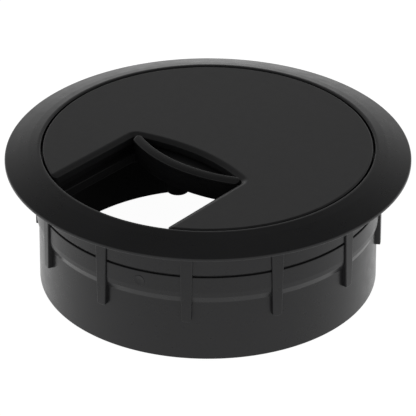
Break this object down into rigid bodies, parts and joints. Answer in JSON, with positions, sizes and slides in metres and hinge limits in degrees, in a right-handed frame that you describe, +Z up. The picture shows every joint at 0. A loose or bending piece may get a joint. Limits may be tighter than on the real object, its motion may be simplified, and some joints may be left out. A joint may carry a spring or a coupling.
{
  "type": "desk grommet",
  "caption": "Round plastic cable grommet for a desk hole, with a low flange, a ribbed sleeve, a flush rotating cap and a sliding gate that closes the cable notch.",
  "frame": {"origin": "on the axis of the sleeve, in the plane of the desk surface that the flange lies on", "axes": "+Z up out of the desk along the sleeve's axis, -Y toward the open end of the cable notch, +X to the right of the notch seen from above with the notch toward the viewer"},
  "size_m": [0.093, 0.093, 0.0332],
  "materials": {
    "liner_plastic": "satin moulded black, finely textured",
    "cap_plastic": "satin moulded black, finely textured",
    "gate_plastic": "satin moulded black"
  },
  "bodies": {
    "liner_body": {"liner": "liner_plastic"},
    "cap_body": {"cap": "cap_plastic"},
    "gate_body": {"gate": "gate_plastic"}
  },
  "joints": [
    {"name": "cap_turn", "type": "hinge", "parent": "liner_body", "child": "cap_body", "pos_m": [0, 0, 0], "axis": [0, 0, 1], "continuous": true},
    {"name": "gate_slide", "type": "slide", "parent": "cap_body", "child": "gate_body", "axis": [0, -1, 0], "range_m": [0, 0.0251]}
  ]
}
